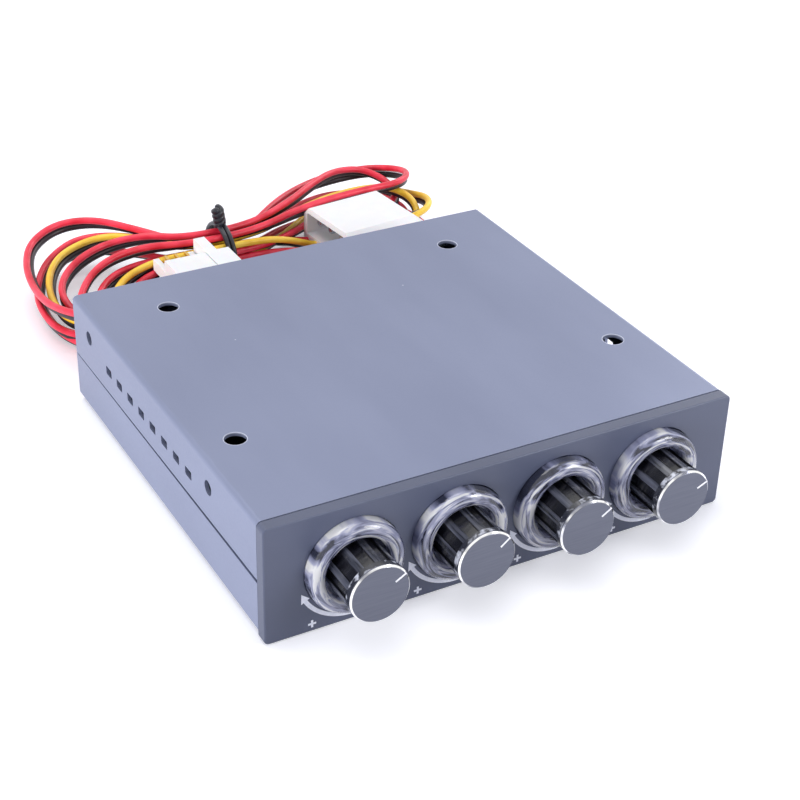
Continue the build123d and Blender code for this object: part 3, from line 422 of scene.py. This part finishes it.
# The five leads: soft stranded wires of 1.7 mm in pairs, red with black for the fans and yellow with
# black for the power. They leave through the grommet, make a turn round the hank and end in plugs.
# Points are in millimetres from the face of the case, and the first five of each are the tube's.
CASE_FACE = -43.5
WIRE = 0.0017
ROUTES = {
    "fan_lead_1": [
        (-44, 82, 8), (-44, 88.5, 8), (-44, 98.5, 8.2), (-43, 103.8, 6.6), (-43, 108, 6.6),
        (-42.6, 116, 7.6), (-39.5, 125.5, 9.8), (-32, 132.5, 12.2), (-21, 134.2, 13.4), (-9, 132.2, 12.9),
        (9, 132.2, 12.9), (25, 137.6, 13.4), (42, 140.3, 13.4), (53.6, 140.6, 13.2), (59.9, 146.8, 12.0),
        (59.9, 154.6, 10.2), (54, 160.8, 9.0), (42, 160.6, 8.8), (31, 155.6, 9.6), (20, 147.6, 10.8),
        (9, 137.6, 11.1), (-9, 137.6, 11.1), (-16.4, 145.8, 12.2), (-24, 157.5, 11.4), (-33, 160.8, 10.4),
        (-41.5, 155.5, 9.2), (-45.6, 146, 8.2), (-47.4, 135, 8.0), (-47.8, 122, 9.5), (-44.5, 110, 11.8),
        (-36.5, 101.2, 13.6), (-28, 98.9, 13.9), (-20.5, 98.9, 13.9), (-15.5, 103.9, 13.9),
        (-15.5, 108.5, 13.9)],
    "fan_lead_2": [
        (-40, 82, 8), (-40, 88.5, 8), (-40, 98.5, 8.3), (-39, 103.8, 6.6), (-39, 108, 6.6),
        (-38, 117, 7.8), (-34, 126.5, 8.8), (-26, 132.5, 9.4), (-9, 134, 9.3), (9, 134, 9.3),
        (23, 135.8, 5.2), (37, 133.8, 3.6), (49.6, 133.4, 3.0), (56.6, 140.4, 3.4), (56.6, 148.4, 4.2),
        (49.8, 155.2, 5.2), (38, 154.8, 6.8), (25, 148, 8.2), (9, 137.7, 9.3), (-9, 137.7, 9.3),
        (-17, 148, 9.6), (-29, 155.0, 8.6), (-38.6, 150, 7.0), (-44.6, 141, 6.0), (-47.8, 130.5, 4.8),
        (-46.6, 118.8, 3.6), (-37, 112.9, 2.8), (-24, 113.4, 2.8), (-15.6, 120.6, 4.0), (-9, 130.5, 5.7),
        (7, 130.5, 5.6), (15.2, 127.4, 5.8), (19.2, 119.4, 8.8), (18.8, 109, 9.6), (12.4, 101.2, 11),
        (4.6, 98.9, 11.8), (-2.3, 98.9, 12), (-7.3, 103.9, 12), (-7.3, 108.5, 12)],
    "power_lead": [
        (-36, 82, 8), (-36, 88.5, 8), (-36, 98.5, 8.15), (-35, 103.8, 6.6), (-35, 108, 6.6),
        (-34.6, 115.5, 8.8), (-30, 124.5, 10.4), (-20, 129.4, 11.2), (-9, 130.4, 11.1), (9, 130.4, 11.1),
        (16, 130.6, 9.4), (25, 132.0, 5.0), (38, 129.6, 4.8), (49, 129.4, 4.8), (55.4, 132.6, 6.2),
        (57.2, 139.4, 8.8), (53.4, 145.8, 10.2), (45.6, 147.6, 10.4), (34, 145.4, 10.8), (21, 139.8, 11.2),
        (9, 134, 11.1), (-9, 134, 11.1), (-15, 142.6, 10.4), (-24, 150.6, 10.0), (-35.5, 147.6, 9.2),
        (-42, 140, 8.2), (-45.4, 129, 6.8), (-44.2, 118.6, 5.6), (-35, 114.2, 4.9), (-22, 118.8, 4.8),
        (-15, 128.5, 5.2), (-7, 134, 5.7), (9, 134, 5.7), (20, 140.5, 5.2), (33, 151, 4.8),
        (43.6, 158.6, 3.6), (52.6, 159.4, 3.4), (58.6, 154.4, 4.6), (60, 146.4, 6.6), (60, 134.9, 9.6),
        (54.2, 128.7, 9.8), (46, 127.9, 9.8)],
    "fan_lead_3": [
        (-32, 82, 8), (-32, 88.5, 8), (-32, 98.5, 8.25), (-31, 103.8, 6.6), (-31, 108, 6.6),
        (-30.6, 115, 8.2), (-27, 123.5, 9.0), (-19, 128.6, 9.3), (-9, 130.3, 9.3), (9, 130.3, 9.3),
        (18.6, 134.6, 8.2), (30, 141.8, 7.4), (44.2, 143.2, 6.6), (52.2, 142.3, 6.2), (56.7, 146.7, 7.0),
        (56.7, 152.9, 8.8), (51.4, 158, 11.0), (42.4, 157.2, 12.0), (33, 150.6, 12.7), (23, 142.6, 13.1),
        (9, 135.8, 12.9), (-9, 135.8, 12.9), (-17, 140.2, 13.0), (-27, 141.8, 12.0), (-36.5, 137.8, 10.8),
        (-43, 130.6, 8.8), (-42.8, 122.6, 6.2), (-37.2, 117.2, 3.6), (-29.4, 117, 2.2), (-21, 123.6, 1.9),
        (-14.4, 131.4, 2.8), (-7, 135.8, 3.9), (11, 135.6, 4.0), (18, 128.4, 3.6), (18, 120, 2.9)],
    "fan_lead_4": [
        (-28, 82, 8), (-28, 88.5, 8), (-28, 98.5, 8.35), (-27, 103.8, 6.6), (-27, 108, 6.6),
        (-26.8, 114, 7.2), (-24.6, 121.5, 7.4), (-18, 128.2, 7.5), (-9, 130.3, 7.5), (9, 130.3, 7.5),
        (19, 128.6, 6.6), (28, 126, 4.6), (38, 124.4, 5.0), (49.6, 124.6, 3.2), (58.2, 129.4, 1.8),
        (60, 137.6, 1.6), (59.4, 146.6, 1.6), (52.4, 152.8, 1.6), (38, 152.6, 1.6), (23, 147, 3.6),
        (9, 137.4, 5.7), (-9, 137.4, 5.7), (-18, 149, 5.2), (-28, 157.2, 4.4), (-38.4, 152.4, 3.4),
        (-44.2, 143, 2.4), (-46.4, 131, 1.8), (-44.4, 116.8, 1.0), (-33, 109.8, 0.9), (-20, 112.2, 0.9),
        (-12.5, 123, 2.0), (-8, 132.2, 3.9), (6, 132.2, 3.9), (14, 133.0, 1.6), (27.5, 134.6, 0.9),
        (36, 128, 1.4), (36, 119, 2.9)]}


def follow(name, points):
    line = bpy.data.curves.new(name + "_route", "CURVE")
    line.dimensions = "3D"
    line.resolution_u = 10
    spline = line.splines.new("NURBS")
    spline.points.add(len(points) - 1)
    for point, (x, y, z) in zip(spline.points, points):
        point.co = (x / 1000, (y + CASE_FACE) / 1000, z / 1000, 1.0)
    spline.order_u = 3
    spline.use_endpoint_u = True
    holder = bpy.data.objects.new(name + "_route", line)
    bpy.context.collection.objects.link(holder)
    bpy.context.view_layer.update()
    traced = bpy.data.meshes.new_from_object(holder.evaluated_get(bpy.context.evaluated_depsgraph_get()))
    path = [vertex.co.copy() for vertex in traced.vertices]
    bpy.data.objects.remove(holder)
    bpy.data.meshes.remove(traced)
    return path


def measure(path):
    return sum((b - a).length for a, b in zip(path, path[1:]))


# The two wires of a pair lie side by side at the exit, in the tie and at the plug. Between them the
# pair leans over, so both show, and rolls slowly to and fro. The roll is evened out along the path.
LEAN = Vector((-0.30, -0.45, 0.84))
TIE_REACH = 0.016
EXIT_REACH = 0.02
PLUG_REACH = 0.006
ROLL, ROLL_LENGTH = 0.35, 0.021
SPREAD, SPREAD_LENGTH = 0.12, 0.013
EVENING_PASSES = 60
WIRE_SIDES = 12


def lay_pair(path, wander):
    total = measure(path)
    steps, angles = [], []
    run = 0.0
    for i, point in enumerate(path):
        ahead = path[min(i + 1, len(path) - 1)] - path[max(i - 1, 0)]
        ahead.normalize()
        across = Vector((0, 0, 1)).cross(ahead)
        across.normalize()
        upward = ahead.cross(across)
        if i:
            run += (point - path[i - 1]).length
        near_tie = math.exp(-((point.x / TIE_REACH) ** 2))
        near_end = math.exp(-run / EXIT_REACH) + math.exp(-(total - run) / PLUG_REACH)
        free = max(0.0, 1 - near_tie - near_end)
        level = 0.0 if LEAN.dot(across) > 0 else math.pi
        leaning = math.atan2(LEAN.dot(upward), LEAN.dot(across))
        share = (0.4 + 0.6 * free) * (1 - min(1.0, near_end))
        angle = level + (leaning - level) * share + ROLL * free * math.sin(run / ROLL_LENGTH + wander)
        if angles:
            angle -= 2 * math.pi * round((angle - angles[-1]) / (2 * math.pi))
        angles.append(angle)
        steps.append((ahead, across, upward, run, free))
    for _ in range(EVENING_PASSES):
        inner = [(a + 2 * b + c) / 4 for a, b, c in zip(angles, angles[1:], angles[2:])]
        angles = [angles[0], *inner, angles[-1]]
    return steps, angles


def pair_of_wires(name, path, wander, materials):
    steps, angles = lay_pair(path, wander)
    vertices, faces, slots = [], [], []
    for wire in (0, 1):
        first = len(vertices)
        for point, angle, (ahead, across, upward, run, free) in zip(path, angles, steps):
            swell = free * SPREAD * (1 + math.sin(run / SPREAD_LENGTH + 2 * wander))
            gap = WIRE / 2 * (1.02 + swell)
            aside = across * math.cos(angle) + upward * math.sin(angle)
            normal = ahead.cross(aside)
            centre = point + aside * gap * (1 if wire == 0 else -1)
            centre.z = max(centre.z, WIRE / 2)
            for k in range(WIRE_SIDES):
                a = 2 * math.pi * k / WIRE_SIDES
                vertices.append(centre + (aside * math.cos(a) + normal * math.sin(a)) * WIRE / 2)
        for i in range(len(path) - 1):
            for k in range(WIRE_SIDES):
                a, b = first + i * WIRE_SIDES + k, first + i * WIRE_SIDES + (k + 1) % WIRE_SIDES
                faces.append((a, b, b + WIRE_SIDES, a + WIRE_SIDES))
                slots.append(wire)
        faces.append(tuple(first + k for k in reversed(range(WIRE_SIDES))))
        faces.append(tuple(first + (len(path) - 1) * WIRE_SIDES + k for k in range(WIRE_SIDES)))
        slots += [wire, wire]
    mesh = bpy.data.meshes.new(name)
    mesh.from_pydata(vertices, [], faces)
    for material in materials:
        mesh.materials.append(material)
    for polygon, slot_index in zip(mesh.polygons, slots):
        polygon.material_index = slot_index
        polygon.use_smooth = len(polygon.vertices) == 4
    mesh.update()
    made = bpy.data.objects.new(name, mesh)
    bpy.context.collection.objects.link(made)
    return made


# Soft vinyl wire cover: a waxy skin with slow shade changes along the wire and the faint ripple of
# the strands under it, drawn at 0.7 mm.
vinyls = []
for vinyl_name, deep, pale in (
        ("soft_red_vinyl", "#D21C34", "#F23C54"),
        ("soft_black_vinyl", "#1A161C", "#2C262E"),
        ("soft_yellow_vinyl", "#EDBB2C", "#FFD94F")):
    vinyl, tree, shader = surface(vinyl_name, Roughness=0.38, Specular_IOR_Level=0.5)
    tone = ramp(tree, noise(tree, 0.006, 2.0), (0.35, deep), (0.65, pale))
    join_up(tree, shader, Base_Color=tone, Normal=bump(tree, noise(tree, 0.0007, 1.0), 0.12))
    vinyls.append(vinyl)
red_vinyl, black_vinyl, yellow_vinyl = vinyls

for lead, first_vinyl, plug_name, wander in (
        ("fan_lead_1", red_vinyl, "fan_plug_1", 0.4),
        ("fan_lead_2", red_vinyl, "fan_plug_2", 1.7),
        ("power_lead", yellow_vinyl, "power_plug", 2.9),
        ("fan_lead_3", red_vinyl, "fan_plug_3", 4.1),
        ("fan_lead_4", red_vinyl, "fan_plug_4", 5.3)):
    path = follow(lead, ROUTES[lead])
    wires = pair_of_wires(lead + "_wires", path, wander, (first_vinyl, black_vinyl))
    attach(wires, "root")
    if lead == "fan_lead_1":
        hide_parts(lead, "lead_hank")
    else:
        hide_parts(lead)


# The plugs: natural nylon housings, cloudy white and slightly see-through at thin walls, with bright
# square pins in the fan plugs and round pins in the power plug.
nylon, tree, shader = surface(
    "natural_nylon", Roughness=0.38, IOR=1.53, Subsurface_Weight=0.25, Subsurface_Scale=0.001)
join_up(tree, shader, Base_Color=two_tones(tree, noise(tree, 0.004, 2.0), "#E8E7E7", "#F1F0F0"))
dress(nylon, "fan_plug_1", "fan_plug_2", "fan_plug_3", "fan_plug_4", "power_plug")

# Gold wash over nickel on the small square pins. The power plug's round pins are zinc plated.
gold, tree, shader = surface("gold_washed_pins", Metallic=1.0, Roughness=0.22)
join_up(tree, shader, Base_Color=two_tones(tree, noise(tree, 0.001, 1.0), "#D2A24A", "#EBC675"))
dress(gold, "plug_pins")
dress(zinc, "power_pins")


# The tie round the hank's waist: a plastic covered wire, wrapped twice side by side round the bundle,
# with its two ends twisted together into a short tail that stands up.
TIE_Y = (134 + CASE_FACE) / 1000
TIE_Z = 0.008
TIE_RADIUS = 0.0074
BAND_RADIUS = 0.0006
BAND_SHIFT = 0.00062
STRAND_RADIUS = 0.00088
STRAND_END_RADIUS = 0.00084
STRAND_OFFSET = 0.00074
TWIST = math.radians(590)
TAIL_HEIGHT = 0.0044
tie_vinyl, tree, shader = surface("black_tie_vinyl", Roughness=0.34)
crease = noise(tree, 0.0012, 3.0)
join_up(tree, shader, Base_Color=two_tones(tree, crease, "#15151B", "#2F303A"),
        Normal=bump(tree, crease, 0.3, 0.0002))

bpy.ops.object.select_all(action="DESELECT")
tie_parts = []
for shift in (-BAND_SHIFT, BAND_SHIFT):
    bpy.ops.mesh.primitive_torus_add(
        major_radius=TIE_RADIUS, minor_radius=BAND_RADIUS, major_segments=72, minor_segments=14,
        location=(shift, TIE_Y, TIE_Z), rotation=(0, math.radians(90), 0))
    tie_parts.append(bpy.context.object)
for strand in (0, 1):
    bpy.ops.mesh.primitive_circle_add(
        vertices=14, radius=STRAND_RADIUS, location=(STRAND_OFFSET, 0, 0), rotation=(math.radians(90), 0, 0))
    tail = bpy.context.object
    bpy.ops.object.transform_apply(location=True, rotation=True, scale=True)
    coil = tail.modifiers.new("twist", "SCREW")
    coil.axis = "Z"
    coil.angle = TWIST
    coil.screw_offset = TAIL_HEIGHT
    coil.steps = 44
    coil.render_steps = 44
    bpy.ops.object.modifier_apply(modifier="twist")
    bpy.ops.object.mode_set(mode="EDIT")
    bpy.ops.mesh.select_all(action="SELECT")
    bpy.ops.mesh.fill_holes(sides=0)
    bpy.ops.mesh.primitive_uv_sphere_add(
        segments=14, ring_count=10, radius=STRAND_END_RADIUS,
        location=(STRAND_OFFSET * math.cos(TWIST), STRAND_OFFSET * math.sin(TWIST), TAIL_HEIGHT))
    bpy.ops.mesh.select_all(action="SELECT")
    bpy.ops.mesh.normals_make_consistent(inside=False)
    bpy.ops.object.mode_set(mode="OBJECT")
    tail.rotation_euler = (0, 0, math.radians(180 * strand))
    bpy.ops.object.transform_apply(location=True, rotation=True, scale=True)
    tail.rotation_euler = (math.radians(4), math.radians(-10), 0)
    tail.location = (0, TIE_Y + 0.0002, TIE_Z + TIE_RADIUS + 0.0002)
    bpy.ops.object.transform_apply(location=True, rotation=True, scale=True)
    tie_parts.append(tail)
bpy.ops.object.select_all(action="DESELECT")
for piece in tie_parts:
    piece.select_set(True)
bpy.context.view_layer.objects.active = tie_parts[0]
bpy.ops.object.join()
tie = bpy.context.object
tie.name = "wire_tie"
bpy.ops.object.transform_apply(location=True, rotation=True, scale=True)
bpy.ops.object.shade_smooth_by_angle(angle=math.radians(50))
tie.data.materials.clear()
tie.data.materials.append(tie_vinyl)
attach(tie, "root")
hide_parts("bundle_tie")
